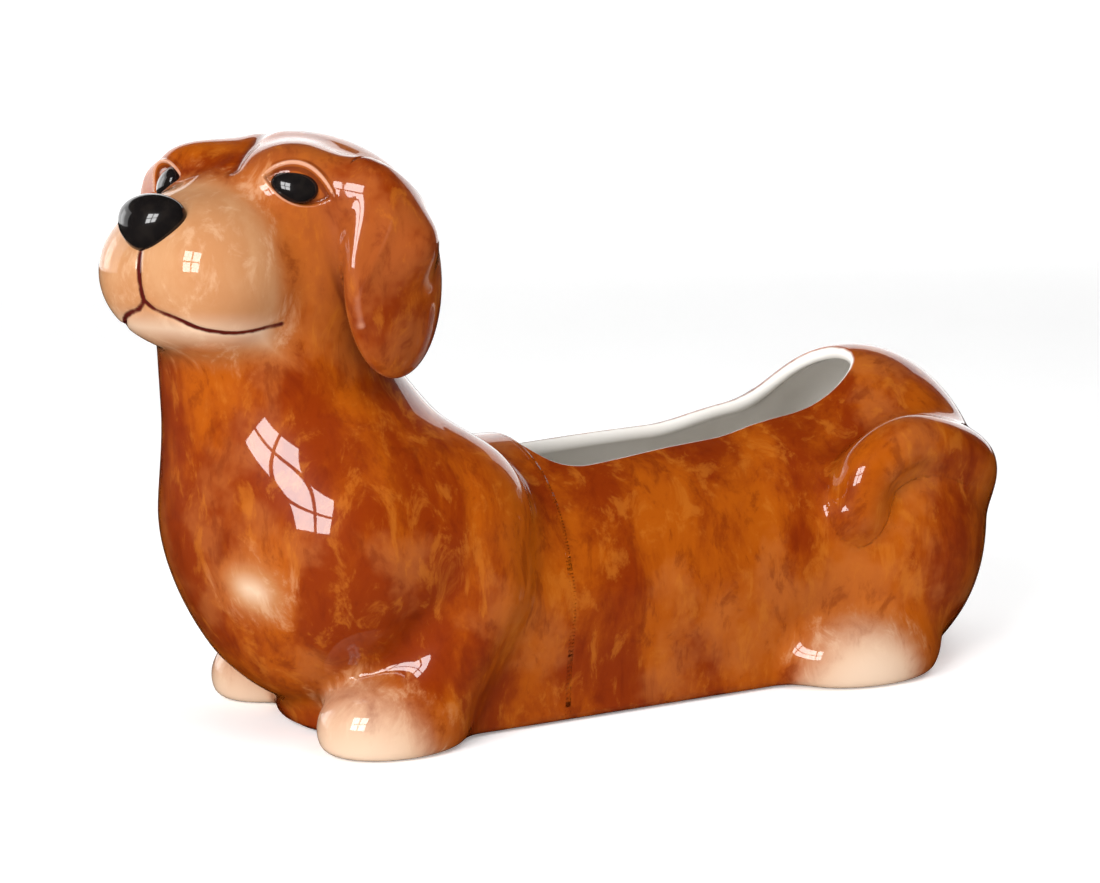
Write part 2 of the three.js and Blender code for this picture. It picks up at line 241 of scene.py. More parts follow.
# Lines drawn or pressed on the head, as millimetres forward, to the dog's left and up.
MOUTH = [(48.5, 0, -15.3), (47.5, 2.5, -17.4), (46.8, 5.5, -18.3), (45.3, 8.8, -19.5), (42.4, 11.8, -21.1),
         (39.4, 14.5, -21.8), (35.5, 16.5, -22), (30.2, 18.3, -21.2), (24, 20, -19.8)]
PHILTRUM = [(49.5, -0.5, -2.5), (50, -0.3, -7.3), (49.8, -0.1, -11.3), (48.5, 0, -15.3)]
CROWN = [(-4, -6, 26), (4, -3.5, 25.3), (16, 1.5, 21.6), (22, 4, 18.5), (25.5, 5, 15.8)]
EAR_FOLD = [(9, 38, 9), (10.3, 39.6, 4), (12.2, 37.9, -3), (15, 35.2, -12), (13.5, 35, -19)]
EYES = {1: (22.8, 22.4, 12.6), -1: (25.2, -17.8, 12.2)}


def line_on_head(points, side=1, count=25):
    """A smooth line through points of the head; side -1 mirrors it to the dog's right."""
    return smooth_line([on_head(f, s * side, u) for f, s, u in points], count)


def from_line(p, line):
    """Smallest distance to a line of points."""
    return along_line(p, line, np.zeros(len(line)))


mouth_lines = [line_on_head(MOUTH, 1), line_on_head(MOUTH, -1), line_on_head(PHILTRUM, 1, 9)]
crown_line = line_on_head(CROWN, 1, 13)
fold_lines = {side: line_on_head(EAR_FOLD, side, 15) for side in (1, -1)}
print("mouth corner", mouth_lines[0][-1].round(1))

# %% [markdown]
# ## Eye sockets
# Each eye sits in a shallow socket, and the upper lid is a thin roll of clay over it. The lids are
# drawn in the eye's own frame, where they are parabolas, so one function serves both eyes.

# %% Sockets and the head's pressed details


def eye_frame(side):
    """The eye's middle and its axes: along the lids to the outer corner, up, and out of the face."""
    outer = head_axes @ unit(np.array([-8.7, side * 13.4, -4.0]))
    out = head_axes @ unit(np.array([16, side * 17, 8.0]))
    out = unit(out - (out @ outer) * outer)
    return on_head(*EYES[side]), np.stack([outer, side * np.cross(out, outer), out], axis=1)


def bump(x):
    """A rounded ridge: exp(-x^2)."""
    return np.exp(-x ** 2)


def smoothstep(low, high, x):
    """0 up to low, 1 from high, and 3 t^2 - 2 t^3 between."""
    t = np.clip((x - low) / (high - low), 0, 1)
    return t * t * (3 - 2 * t)


def upper_lid(x):
    """Height of the upper lid's edge at x along the eye."""
    return 4.7 - 4.6 * (x / 8.5) ** 2


def eye_detail(p, side):
    """The socket is 0.9 mm deep between two lids that are parabolas; the upper one has a rolled edge."""
    at, axes = eye_frame(side)
    q = (p - at) @ axes
    x, y = q[:, 0], q[:, 1]
    near = smoothstep(12, 8, length(q))
    low = -3.9 + 3.2 * (x / 7.5) ** 2
    opening = smoothstep(-0.7, 0.7, upper_lid(x) - 1.0 - y) * smoothstep(-0.7, 0.7, y - low)
    lid = bump((y - upper_lid(x)) / 0.5) * smoothstep(-8.5, -6, x) * smoothstep(10.5, 7.5, x)
    return near * (0.9 * opening - 0.55 * lid)


def head_details(p):
    """How far the finger and the tool pressed in, less what they raised; only near the head."""
    out = np.zeros(len(p))
    close = np.flatnonzero((p[:, 2] > 85) & (p[:, 0] < chest_x + 25))
    q = p[close]
    pressed = 0.55 * bump(np.min([from_line(q, line) for line in mouth_lines], axis=0) / 0.9)
    pressed += 0.9 * bump(from_line(q, crown_line) / 2.2)
    for side in (1, -1):
        pressed += eye_detail(q, side)
    out[close] = pressed
    return out


print("left eye at", eye_frame(1)[0].round(1))

# %% [markdown]
# ## Ears, legs and tail as masses
# These are the lumps that the potter adds by hand. On the head a side of 1 is the dog's left.

# %% Ears, legs and tail as masses


def ear_mass(p, side):
    """A root on the skull joined to a flat flap, with a raised fold down its front."""
    root = bar(p, on_head(1, side * 37, 0), on_head(8, side * 30.5, 12), 7, 6.5)
    ear = join(8, root, ellipsoid(p, on_head(0, side * 33, -9), (16.5, 6.5, 23), ear_axes))
    close = np.flatnonzero(np.abs(ear) < 4)
    ear[close] -= 0.4 * bump(from_line(p[close], fold_lines[side]) / 1.6)
    return ear


def front_leg_mass(p, side):
    """An arm from the elbow down, joined to a paw."""
    arm = bar(p, (chest_x + 18, side * 32, 37), (chest_x + 5, side * 31.5, 12), 14, 12.5)
    return join(5, arm, ellipsoid(p, (chest_x - 3, side * 31.5, 6), (19, 14.5, 13)))


def hind_leg_mass(p, side):
    """A round thigh joined to a long paw."""
    thigh = ellipsoid(p, (rump_x - 7, side * 24, 33), (27, 23, 30))
    return join(8, thigh, ellipsoid(p, (rump_x - 23, side * 36, 7), (24, 14.5, 13)))


TAIL_KNOTS = 73
tail_line = np.array([rump_x, 0, 38]) + np.array([
    (27, 4, 0), (27, -15, 7), (18, -30, 16), (3, -36.5, 22.5),
    (-12, -38.5, 25), (-24, -38.5, 19), (-28, -37, 8),
])
tail_knots = smooth_line(tail_line, TAIL_KNOTS)
tail_radii = np.linspace(8, 7.5, TAIL_KNOTS)


def tail_mass(p):
    """A chain of bars round the rump; more than 12 mm outside a ball around it, the ball's distance."""
    out = length(p - tail_line.mean(axis=0)) - 45
    close = np.flatnonzero(out < 12)
    out[close] = along_line(p[close], tail_knots, tail_radii)
    return out


print("tail from", tail_knots[0].round(1), "to", tail_knots[-1].round(1))

# %% [markdown]
# ## The whole dog
# All the masses are joined into one skin, each with the fillet that slip leaves along its edge. The
# pieces are cut from this one skin later, so that no step shows where two of them meet.

# %% One skin


def clay(p):
    """Every piece's own value at p, with the head and trunk melted into one."""
    main = join(6, trunk_mass(p), head_mass(p))
    touched = np.flatnonzero(np.abs(main) < 4)
    main[touched] += head_details(p[touched])
    return {
        "main": main,
        "ear_left": ear_mass(p, 1),
        "ear_right": ear_mass(p, -1),
        "front_leg_left": front_leg_mass(p, LEFT),
        "front_leg_right": front_leg_mass(p, RIGHT),
        "hind_leg_left": hind_leg_mass(p, LEFT),
        "hind_leg_right": hind_leg_mass(p, RIGHT),
        "tail": tail_mass(p),
    }


FILLETS = {
    "ear_left": 1.5, "ear_right": 1.5, "front_leg_left": 6, "front_leg_right": 6,
    "hind_leg_left": 7, "hind_leg_right": 7, "tail": 6,
}
SOLE_EDGE = 3


def skin(values, p):
    """The whole dog: every piece luted on with its fillet, and cut flat at the ground."""
    out = values["main"]
    ear_root = np.clip((p[:, 2] - 108) / 24, 0, 1)
    for name, fillet in FILLETS.items():
        if name.startswith("ear"):
            fillet = fillet + 7 * ear_root
        out = join(fillet, out, values[name])
    return cut(SOLE_EDGE, out, -p[:, 2])


def dog(p):
    """The whole dog's skin at p."""
    return skin(clay(p), p)


print("pieces of clay", ["main", *FILLETS])

# %% [markdown]
# ## Walking out to the surface
# Each piece gets a grid of rays that start inside it. A ray is walked outwards by about the
# distance the field gives until it leaves the clay, then halved down to the exact crossing. All rays
# walk at once, as one array. Marching cubes would need a very fine grid of points to look as smooth.

# %% Rays, normals and grids


def walk_out(field, start, direction):
    """The points where rays leave the clay, for arrays of starts and unit directions."""
    shape = np.broadcast_shapes(start.shape, direction.shape)
    start = np.broadcast_to(start, shape).reshape(-1, 3)
    direction = np.broadcast_to(direction, shape).reshape(-1, 3)
    inner = np.zeros(len(start))
    outer = np.zeros(len(start))
    live = np.arange(len(start))
    for _ in range(160):
        value = field(start[live] + outer[live, None] * direction[live])
        inside = value < 0
        live = live[inside]
        if not len(live):
            break
        inner[live] = outer[live]
        outer[live] += np.maximum(-0.8 * value[inside], 0.2)
    for _ in range(13):
        middle = (inner + outer) / 2
        inside = field(start + middle[:, None] * direction) < 0
        inner = np.where(inside, middle, inner)
        outer = np.where(inside, outer, middle)
    return (start + ((inner + outer) / 2)[:, None] * direction).reshape(shape)


def slopes(field, p, step=0.08):
    """Unit normals of a field, by central differences."""
    flat = p.reshape(-1, 3)
    rise = [field(flat + e) - field(flat - e) for e in np.eye(3) * step]
    return unit(np.stack(rise, axis=1)).reshape(p.shape)


def grid_faces(rows, columns, first=0, flip=False):
    """Four-sided faces between neighbouring points of a grid, numbered row by row."""
    i, j = np.mgrid[0:rows - 1, 0:columns - 1]
    a = first + (i * columns + j).ravel()
    quads = np.stack([a, a + columns, a + columns + 1, a + 1], axis=1)
    return quads[:, ::-1] if flip else quads


def weld(grids):
    """Joins grids into one closed mesh: points that lie together become one, and faces that shrink
    to nothing at a pole or a pinched edge are dropped. A grid is (points, flip)."""
    points = np.concatenate([g.reshape(-1, 3) for g, _ in grids])
    first = np.cumsum([0] + [g.shape[0] * g.shape[1] for g, _ in grids])
    quads = np.concatenate([grid_faces(*g.shape[:2], n, flip) for (g, flip), n in zip(grids, first)])
    places = (points * 500).round().astype(np.int64)
    _, kept, index = np.unique(places, axis=0, return_index=True, return_inverse=True)
    quads = index.ravel()[quads]
    shifted = np.roll(quads, -1, axis=1)
    sides = (quads != shifted).sum(axis=1)
    whole = quads[(sides == 4) & (quads[:, 0] != quads[:, 2]) & (quads[:, 1] != quads[:, 3])]
    pinched = quads[sides == 3]
    keep = (pinched != np.roll(pinched, -1, axis=1))
    triangles = pinched[keep].reshape(-1, 3)
    return points[kept], whole, triangles, kept, index.ravel()


def make_piece(name, grids, normals=None, attributes=None, rings=None):
    """A mesh object from welded grids. Normals, where they are given, come from the field's slope;
    attributes are one number for each grid point. Two rings of different counts, the larger a whole
    number of times the smaller, are closed with many-sided faces."""
    points, quads, triangles, kept, index = weld(grids)
    faces = quads.tolist() + triangles.tolist()
    if rings is not None:
        outside, inside = (index[ring] for ring in rings)
        ratio = (len(outside) - 1) // (len(inside) - 1)
        k = np.arange(len(inside) - 1)[:, None]
        around = np.hstack([outside[k * ratio + np.arange(ratio + 1)], inside[k + 1], inside[k]])
        faces += around[:, ::-1].tolist()
    mesh = bpy.data.meshes.new(name)
    mesh.from_pydata((points * MM).tolist(), [], faces)
    mesh.polygons.foreach_set("use_smooth", np.ones(len(mesh.polygons), bool))
    mesh.update()
    for key, values in (attributes or {}).items():
        layer = mesh.attributes.new(key, "FLOAT", "POINT")
        layer.data.foreach_set("value", np.asarray(values, np.float32)[kept])
    if normals is not None:
        own = np.zeros(len(points) * 3, np.float32)
        mesh.vertex_normals.foreach_get("vector", own)
        own = own.reshape(-1, 3)
        given = normals[kept]
        agree = np.einsum("ij,ij->i", own, given) > 0.1
        own[agree] = given[agree]
        mesh.normals_split_custom_set_from_vertices(own.tolist())
    piece = bpy.data.objects.new(name, mesh)
    bpy.context.scene.collection.objects.link(piece)
    print(f"{name}: {len(points)} points, {len(quads) * 2 + len(triangles)} triangles")
    return piece


# %% [markdown]
# ## The trunk as one grid
# A real trunk is poured in a two-part mould and the opening is cut while the clay is damp. One grid
# of rays could start at a single point, but a long barrel would be seen too flatly from there. So the
# rays start on a line: a fan at the rump, square sections along the barrel, then a turn up into the
# neck about a pivot behind it. Along the opening each section starts and ends at the rim.

# %% Body: the grid of rays
PIVOT = np.array([chest_x + 45, 0, seam_z])
BEND = np.array([61.0, 0, seam_z - BARREL_HEIGHT])
OPENING_FRONT, OPENING_LENGTH = chest_x + 43.5, 113.5
UP, BACK, LEFTWARDS = np.array([0, 0, 1.0]), np.array([1.0, 0, 0]), np.array([0, -1.0, 0])
ROUND_BODY, ROUND_INSIDE = 256, 64


def opening_half_width(x):
    """Half the opening's width at x: a smooth waist in front of the rump, times (1 - |2s - 1|^n)^0.45
    along its length s, which rounds both ends: n is 12 for the blunt front and 8 for the rear."""
    s = np.clip((x - OPENING_FRONT) / OPENING_LENGTH, 0, 1)
    side = np.interp(s, np.linspace(0, 1, 9), (22.5, 22, 20.2, 18.2, 16.6, 15.4, 15.8, 17, 17.4))
    return side * (1 - np.abs(2 * s - 1) ** np.where(s < 0.5, 12, 8)) ** 0.45


def body_rows():
    """Starts, upright directions and lean towards the pole for each row of rays, rear to front."""
    rows = []
    for a in np.linspace(0, math.pi / 2, 56, endpoint=False):
        rows.append((np.array([rump_x, 0, BARREL_HEIGHT]), UP, a, np.nan))
    rear = OPENING_FRONT + OPENING_LENGTH
    for x in np.linspace(rump_x, rear, 3, endpoint=False):
        rows.append((np.array([x, 0, BARREL_HEIGHT]), UP, math.pi / 2, np.nan))
    for t in np.linspace(0, 1, 113):
        x = rear - OPENING_LENGTH * (1 - math.cos(math.pi * t)) / 2
        rows.append((np.array([x, 0, BARREL_HEIGHT]), UP, math.pi / 2, t))
    for x in np.linspace(OPENING_FRONT, PIVOT[0], 5, endpoint=False)[1:]:
        rows.append((np.array([x, 0, BARREL_HEIGHT]), UP, math.pi / 2, np.nan))
    for a in np.linspace(0, math.pi / 2, 90):
        start = PIVOT - BEND * np.array([math.sin(a), 0, math.cos(a)])
        rows.append((start, unit(PIVOT - start), math.pi / 2, np.nan))
    return (np.array(column) for column in zip(*rows))


starts, uprights, leans, openings = body_rows()
open_rows = np.flatnonzero(~np.isnan(openings))
print("body rows", len(starts), "of which along the opening", len(open_rows))


def section_rays(angle):
    """Unit directions at an angle from upright towards the dog's left, leaning to the rear pole."""
    a, lean = angle[..., None], leans[:, None, None]
    flat = np.cos(a) * uprights[:, None] + np.sin(a) * LEFTWARDS
    return np.sin(lean) * flat + np.cos(lean) * BACK


def rim_angles(field, widths, side):
    """For each row along the opening, the angle at which the surface is that far from the middle."""
    low, high = np.zeros(len(open_rows)), np.full(len(open_rows), 1.45)
    for _ in range(22):
        middle = (low + high) / 2
        angle = np.zeros(len(starts))
        angle[open_rows] = side * middle
        direction = section_rays(angle[:, None])[open_rows, 0]
        y = np.abs(walk_out(field, starts[open_rows], direction)[:, 1])
        low, high = np.where(y < widths, middle, low), np.where(y < widths, high, middle)
    return low


def body_grid(field, widths, columns):
    """The body's surface from the left rim, under the belly, to the right rim. Away from the
    opening both rims meet, so the grid closes on itself."""
    first, last = np.zeros(len(starts)), np.full(len(starts), 2 * math.pi)
    first[open_rows] = rim_angles(field, widths, 1)
    last[open_rows] -= rim_angles(field, widths, -1)
    v = np.linspace(0, 1, columns + 1)
    angle = first[:, None] + (last - first)[:, None] * v
    points = walk_out(field, starts[:, None], section_rays(angle))
    points[0] = points[0].mean(axis=0)
    ends = [open_rows[0], open_rows[-1]]
    closed = np.ones(len(starts), bool)
    closed[open_rows[1:-1]] = False
    points[closed, -1] = points[closed, 0]
    return points


def body_field(p):
    """The trunk's own clay: the whole dog, less the luted pieces down to 1.8 mm under its own skin."""
    values = clay(p)
    others = np.min([values[name] for name in FILLETS], axis=0)
    own = np.minimum(values["main"] - others - 3.0, values["main"] + 1.8)
    return np.maximum(skin(values, p), own)


def hollow_field(p):
    """The inside of the casting: the trunk shrunk by its wall, with a flat floor."""
    return cut(4, join(6, trunk_mass(p), head_mass(p)) + WALL, WALL - p[:, 2])


widths = opening_half_width(starts[open_rows, 0])
outer = body_grid(body_field, widths, ROUND_BODY)
inner = body_grid(hollow_field, np.maximum(widths - 0.6, 0), ROUND_INSIDE)
print("outer grid", outer.shape[:2], "inner grid", inner.shape[:2])

# %% [markdown]
# ## Where each glaze goes
# The painter laid a pale tan on the muzzle, the paws and two patches on the chest, and drew the mouth
# with a fine brush. Each is stored on the surface as a distance in millimetres, so the shader can
# fray its edge with a brush's unevenness. A painted texture would need the surface unwrapped first.

# %% Distances to the painted areas


def glaze_marks(p):
    """Distance inside the tan and the pale areas, distance from the drawn lines, and how sharply the
    clay bends: the mean of the field 1.2 mm away on six sides, less the field itself."""
    q = (p - head_at) @ head_axes
    muzzle = np.minimum(q[:, 0] - 27.5 + 0.35 * np.maximum(-5 - q[:, 2], 0), q[:, 2] + 29)
    tan = np.where(p[:, 2] > 85, muzzle, -20)
    for side in (LEFT, RIGHT):
        patch = ellipsoid(p, (chest_x - 36, side * 25, 41), (14, 11, 10)) + 1.5
        hind = ellipsoid(p, (rump_x - 28, side * 38, 4), (20, 19, 16))
        paw = ellipsoid(p, (chest_x - 9, side * 32, 2), (18, 18, 17))
        tan = np.maximum(tan, np.maximum(-patch, np.maximum(-hind, -paw)))
    line = np.full(len(p), 9.0)
    face = np.flatnonzero((q[:, 0] > 15) & (p[:, 2] > 85))
    line[face] = np.min([from_line(p[face], drawn) for drawn in mouth_lines], axis=0)
    # The bend is kept for the glaze, which paints convex edges lighter as painted highlight and hollows
    # darker as painted shade.
    around = np.concatenate([np.eye(3), -np.eye(3)]) * 1.2
    edge = np.mean([dog(p + step) for step in around], axis=0) - dog(p)
    jaw = np.minimum(-17 - q[:, 2], muzzle - 3)
    pale = np.where(p[:, 2] > 85, jaw, np.where(p[:, 2] < 25, tan, tan - 4))
    return {"tan": tan, "pale": pale, "line": line, "edge": edge}


at_nose = glaze_marks(on_head(44, 0, 0)[None])
print("the nose is", at_nose["tan"].round(1), "mm inside the tan")

# %% [markdown]
# ## The trunk with its rolled lip
# The wall of a casting is cut with a knife and the cut edge is wiped round with a sponge. The lip is
# a curve that leaves the outside along its own slope, turns over and arrives at the inside, swept
# once around the opening. A bevel of the edge would be rounder, but it wouldn't follow both slopes.

# %% Lip and body
LIP_COLUMNS = 12


def rim_loop(grid):
    """The opening's edge as one loop: down the left side, then back up the right side."""
    return np.concatenate([grid[open_rows, 0], grid[open_rows[:-1][::-1], -1]])


def towards_opening(field, loop):
    """Unit tangents of a surface, square to the rim and pointing into the opening."""
    ring = loop[:-1]
    along = unit(np.roll(ring, -1, axis=0) - np.roll(ring, 1, axis=0))
    across = unit(np.cross(along, slopes(field, ring)))
    middle = ring * (1, 0, 1)
    middle[:, 0] = np.clip(ring[:, 0], OPENING_FRONT + 15, OPENING_FRONT + OPENING_LENGTH - 15)
    across *= np.sign(np.einsum("ij,ij->i", across, middle - ring))[:, None]
    return np.concatenate([across, across[:1]])


def lip_grid(outside, inside):
    """A cubic from the outer edge to the inner edge, with handles two thirds of the wall long."""
    t = np.linspace(0, 1, LIP_COLUMNS)[None, :, None]
    a, d = outside[:, None], inside[:, None]
    handle = 0.67 * length(a - d)[..., None]
    b = a + handle * towards_opening(dog, outside)[:, None]
    c = d + handle * towards_opening(hollow_field, inside)[:, None]
    curve = (1 - t) ** 3 * a + 3 * (1 - t) ** 2 * t * b + 3 * (1 - t) * t ** 2 * c + t ** 3 * d
    curve[:, 0], curve[:, -1] = outside, inside
    return curve


def surface_normals(p, inside_too=False):
    """The glaze follows the field's slope where a point is on the skin; elsewhere nothing is given."""
    given = np.zeros_like(p)
    on_skin = np.abs(dog(p)) < 0.1
    given[on_skin] = slopes(dog, p[on_skin])
    if inside_too:
        on_wall = ~on_skin & (np.abs(hollow_field(p)) < 0.1)
        given[on_wall] = -slopes(hollow_field, p[on_wall])
    return given


def glazed(name, grids, nodes, inside=None, rings=None):
    """A piece with its normals and glaze attributes, riding with the dog in place of its node."""
    p = np.concatenate([g.reshape(-1, 3) for g, _ in grids])
    marks = glaze_marks(p)
    marks["inside"] = np.zeros(len(p)) if inside is None else inside
    piece = make_piece(name, grids, surface_normals(p, inside is not None), marks, rings)
    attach(piece, "root")
    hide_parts(*nodes)
    return piece


def last_rows(outside, *between_and_inside):
    """Numbers of the points in the last row of the first grid and of the last grid."""
    sizes = [g.shape[0] * g.shape[1] for g in (outside, *between_and_inside)]
    inside = between_and_inside[-1]
    return (np.arange(sizes[0] - outside.shape[1], sizes[0]),
            np.arange(sum(sizes) - inside.shape[1], sum(sizes)))


lip = lip_grid(rim_loop(outer), rim_loop(inner))
inside_share = np.concatenate([
    np.zeros(outer.shape[:2]).ravel(),
    np.broadcast_to(np.linspace(0, 1, LIP_COLUMNS), lip.shape[:2]).ravel(),
    np.ones(inner.shape[:2]).ravel(),
])
glazed("body", [(outer, False), (lip, True), (inner, True)], ["body_shell"],
       inside_share, last_rows(outer, lip, inner))

# %% [markdown]
# ## The head
# The head is cast with the trunk or stuck to it with slip while both are leather-hard, so there is
# no step between them. Its rays start in the skull and open like an umbrella, from the crown down to
# the ring where the trunk ends. Even steps all round would waste points on the nape, so the rays
# stand closer together on the face.

# %% Head
HEAD_ROWS, HEAD_COLUMNS = 230, 400


def head_grid(field, rows, columns):
    """Rays turned from straight up to each point of the neck ring, in equal steps of angle. Their
    bearing from the nape is 2 pi u + 0.45 sin(2 pi u), so columns crowd towards the face."""
    u = np.linspace(0, 1, columns + 1)
    bearing = 2 * np.pi * u + 0.45 * np.sin(2 * np.pi * u) + turn
    flat = np.stack([np.cos(bearing), np.sin(bearing), np.zeros_like(u)], axis=1)
    ring = walk_out(field, np.array([[chest_x - 17, 0, seam_z]]), flat)
    down = unit(ring - head_at)
    full = np.arccos(down[:, 2])
    angle = np.linspace(0, 1, rows)[:, None] * full
    direction = np.cos(angle)[..., None] * UP + np.sin(angle)[..., None] * unit(down * (1, 1, 0))
    points = walk_out(field, head_at, direction)
    points[0] = points[0].mean(axis=0)
    points[-1] = ring
    points[:, -1] = points[:, 0]
    return points


def head_field(p):
    """The skin, less what belongs to the ears."""
    values = clay(p)
    others = np.minimum(values["ear_left"], values["ear_right"])
    return np.maximum(skin(values, p), values["main"] - others - 3.0)


head_outer = head_grid(head_field, HEAD_ROWS, HEAD_COLUMNS)
head_inner = head_grid(hollow_field, 40, HEAD_COLUMNS // 4)
inside_share = np.concatenate([np.zeros(head_outer[..., 0].size), np.ones(head_inner[..., 0].size)])
glazed("head", [(head_outer, False), (head_inner, True)], ["head_shell"],
       inside_share, last_rows(head_outer, head_inner))

# %% [markdown]
# ## Legs and ears
# These are pressed lumps of clay luted on. Each is a closed surface seen from one point inside it: it
# ends just past the line where it and the rest of the clay are equally near, so its edge is buried.
# The back of a leg is then drawn outward, so that it ends inside the wall and not in the hollow.

# %% Legs and ears


def luted_field(name):
    """The skin, but only where this piece is nearer than the rest of the clay."""
    def field(p):
        values = clay(p)
        rest = np.min([values[other] for other in values if other != name], axis=0)
        return np.maximum(skin(values, p) - 0.03, values[name] - rest - 0.5)
    return field


def seated(points, outward):
    """Points deeper than 2.6 mm under the trunk's skin, drawn outward until they are that deep."""
    flat, away = points.reshape(-1, 3).copy(), np.broadcast_to(outward, points.shape).reshape(-1, 3)
    deep = np.arange(len(flat))
    for _ in range(40):
        depth = -join(6, trunk_mass(flat[deep]), head_mass(flat[deep])) - 2.6
        flat[deep] += np.maximum(depth, 0)[:, None] * away[deep]
        deep = deep[depth > 0.02]
    return flat.reshape(points.shape)


def lump_grid(field, start, rows, columns, pole):
    """Rays from one point in all directions: rows from a pole to the other, columns around it."""
    frame_x = unit(np.cross(pole, (0.3, 0.1, 0.95)))
    frame_y = np.cross(pole, frame_x)
    polar = np.linspace(0, np.pi, rows)[:, None, None]
    around = np.linspace(0, 2 * np.pi, columns + 1)[None, :, None]
    flat = np.cos(around) * frame_x + np.sin(around) * frame_y
    direction = np.cos(polar) * pole + np.sin(polar) * flat
    points = walk_out(field, np.asarray(start, float), direction)
    points[0], points[-1] = points[0].mean(axis=0), points[-1].mean(axis=0)
    points[:, -1] = points[:, 0]
    return points


LUMP_ROWS, LUMP_COLUMNS = 150, 220
for side, word in ((LEFT, "left"), (RIGHT, "right")):
    outward = np.array([0, side * 1.0, 0])
    legs = {f"front_leg_{word}": (chest_x, side * 35.5, 12), f"hind_leg_{word}": (rump_x - 16, side * 37, 14)}
    for name, start in legs.items():
        grid = seated(lump_grid(luted_field(name), start, LUMP_ROWS, LUMP_COLUMNS, outward), outward)
        glazed(name, [(grid, False)], [name])
    name, start = f"ear_{word}", on_head(-5, -side * 29.5, -9)
    grid = lump_grid(luted_field(name), start, LUMP_ROWS, LUMP_COLUMNS, -side * leftward)
    glazed(name, [(grid, False)], [name])

# %% [markdown]
# ## The tail
# A rolled coil of clay, curled round the rump and pressed down. A bevelled curve would make a round
# tube, but not the fillet along its foot. So its rays start on a line inside the coil and stand
# square to it, and they stop at the same skin as the trunk's; the two ends are closed by leaning the
# rays over.

# %% Tail


def coil_grid(field, line, columns, cap_rows=14):
    """Rays square to a line, with their angle measured from the sky; at each end they lean over."""
    along = unit(np.gradient(line, axis=0))
    lean = np.linspace(0, np.pi / 2, cap_rows, endpoint=False)[1:]
    rows = np.concatenate([np.zeros(cap_rows, int), np.arange(len(line)), np.full(cap_rows, len(line) - 1)])
    tilt = np.concatenate([[np.pi / 2], lean[::-1], np.zeros(len(line)), -lean, [-np.pi / 2]])
    start, axis = line[rows], -along[rows]
    side = unit(np.cross(UP, axis))
    top = np.cross(axis, side)
    a = np.linspace(0, 2 * np.pi, columns + 1)[None, :, None]
    flat = np.cos(a) * top[:, None] + np.sin(a) * side[:, None]
    direction = np.cos(tilt)[:, None, None] * flat + np.sin(tilt)[:, None, None] * axis[:, None]
    points = walk_out(field, start[:, None], direction)
    points[0], points[-1] = points[0].mean(axis=0), points[-1].mean(axis=0)
    points[:, -1] = points[:, 0]
    return points


tail_grid = coil_grid(luted_field("tail"), smooth_line(tail_line, 230), 96)
tail_grid = seated(tail_grid, unit(tail_grid - (rump_x, 0, BARREL_HEIGHT)))
glazed("tail", [(tail_grid, False)], ["tail"])

# %% [markdown]
# ## Eyes and nose
# Buttons of black glaze: two small balls sunk in the face and a broad pad on the tip of the muzzle.
# A scaled sphere would do, but the pad is wider above than below, so each is a surface of its own.

# %% Eyes and nose


def button(name, at, radii, axes, pinch=0.0):
    """An ellipsoid with its own axes, from the sphere's two angles. The pinch makes it broad above
    and pointed below: its width is multiplied by 1 + pinch times the height from -1 to 1."""
    turns = np.linspace(0, np.pi, 60), np.linspace(0, 2 * np.pi, 97)
    polar, around = np.meshgrid(*turns, indexing="ij")
    ball = np.stack([np.cos(polar), np.sin(polar) * np.cos(around), np.sin(polar) * np.sin(around)], axis=-1)
    ball[..., 1] *= 1 + pinch * ball[..., 2]
    points = at + (ball * radii) @ axes.T
    points[0], points[-1] = points[0].mean(axis=0), points[-1].mean(axis=0)
    points[:, -1] = points[:, 0]
    piece = make_piece(name, [(points, False)])
    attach(piece, "root")
    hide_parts(name)
    return piece


buttons = []
for side, word in ((1, "left"), (-1, "right")):
    at, axes = eye_frame(side)
    seat = walk_out(dog, (at - 8 * axes[:, 2])[None], axes[None, :, 2])[0]
    sunk = seat - 1.2 * axes[:, 2] - 0.8 * axes[:, 0]
    buttons.append(button(f"eye_{word}", sunk, np.array([5.6, 4.1, 2.6]), axes))
nose_axes = head_axes @ np.array([(0.94, 0, -0.34), (0, 1, 0), (0.34, 0, 0.94)])
nose_at, nose_radii = on_head(45.8, -0.6, 2.0), np.array([6.4, 8.8, 7.0])
buttons.append(button("nose", nose_at, nose_radii, nose_axes, 0.24))

# %% [markdown]
# ## Glazes
# A glaze is coloured glass over clay. Its colours are mixed from noises and from the distances kept on
# the surface, which takes a good many Math nodes, so a small class lets the sums be written as sums.

# %% A small language for shaders


class Wire:
    """A socket in a node tree; arithmetic with it adds Math nodes."""

    def __init__(self, graph, socket):
        self.graph, self.socket = graph, socket

    def math(self, operation, *values, **settings):
        settings["operation"] = operation
        return self.graph.node("ShaderNodeMath", settings, dict(enumerate(values)))

    def __add__(self, other):
        return self.math("ADD", self, other)

    def __sub__(self, other):
        return self.math("SUBTRACT", self, other)

    def __rsub__(self, other):
        return self.math("SUBTRACT", other, self)

    def __mul__(self, other):
        return self.math("MULTIPLY", self, other)

    def __truediv__(self, other):
        return self.math("DIVIDE", self, other)

    def __rtruediv__(self, other):
        return self.math("DIVIDE", other, self)

    __radd__, __rmul__ = __add__, __mul__

    def ramp(self, low, high):
        """0 below the low value, 1 above the high one, and a smooth step between."""
        inputs = {"Value": self, "From Min": low, "From Max": high}
        return self.graph.node("ShaderNodeMapRange", {"interpolation_type": "SMOOTHSTEP"}, inputs)


